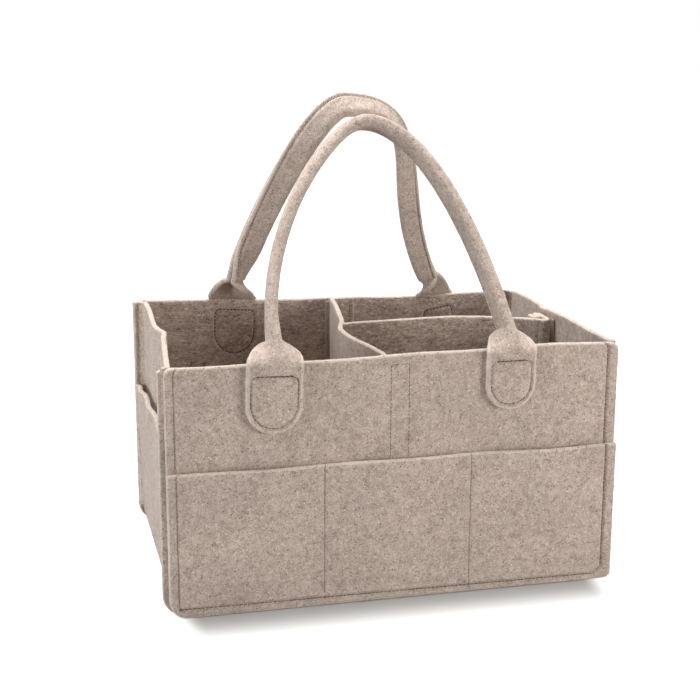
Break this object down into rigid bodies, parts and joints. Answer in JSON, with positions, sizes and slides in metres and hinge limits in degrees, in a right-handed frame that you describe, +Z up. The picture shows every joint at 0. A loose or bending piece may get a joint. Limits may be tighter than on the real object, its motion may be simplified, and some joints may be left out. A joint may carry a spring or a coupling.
{
  "type": "diaper caddy",
  "caption": "Open felt storage caddy with folded-strip carry handles, outside pockets and a lift-out divider insert held by hook and loop tape.",
  "frame": {"origin": "middle of the underside, on the surface that the caddy stands on", "axes": "+Z up, +X to the right as seen from the front, +Y from the front to the back"},
  "size_m": [0.33, 0.225, 0.3519],
  "materials": {
    "body_felt": "matt pressed wool felt, heathered beige",
    "pocket_felt": "matt pressed wool felt, heathered beige",
    "handle_felt": "matt pressed wool felt, heathered beige",
    "divider_felt": "matt pressed wool felt, heathered beige",
    "loop_tape": "brushed nylon loop pile",
    "hook_tape": "woven nylon with fine hooks"
  },
  "bodies": {
    "caddy": {"front_panel": "body_felt", "back_panel": "body_felt", "gusset": "body_felt", "front_pocket_panel": "pocket_felt", "back_pocket_panel": "pocket_felt", "left_end_pocket": "pocket_felt", "right_end_pocket": "pocket_felt", "front_left_tab": "handle_felt", "front_right_tab": "handle_felt", "back_left_tab": "handle_felt", "back_right_tab": "handle_felt", "front_loop_tape": "loop_tape", "back_loop_tape": "loop_tape", "right_loop_tape": "loop_tape"},
    "divider_insert": {"main_divider": "divider_felt", "cross_divider": "divider_felt", "front_hook_tape": "hook_tape", "back_hook_tape": "hook_tape", "right_hook_tape": "hook_tape"},
    "front_carry_handle": {"front_handle": "handle_felt"},
    "back_carry_handle": {"back_handle": "handle_felt"}
  },
  "joints": [
    {"name": "insert_lift", "type": "slide", "parent": "caddy", "child": "divider_insert", "axis": [0, 0, 1], "range_m": [0, 0.14]},
    {"name": "front_handle_swing", "type": "hinge", "parent": "caddy", "child": "front_carry_handle", "pos_m": [0, -0.1105, 0.1735], "axis": [1, 0, 0], "range_deg": [0, 165]},
    {"name": "back_handle_swing", "type": "hinge", "parent": "caddy", "child": "back_carry_handle", "pos_m": [0, 0.1105, 0.1735], "axis": [-1, 0, 0], "range_deg": [0, 165]}
  ]
}
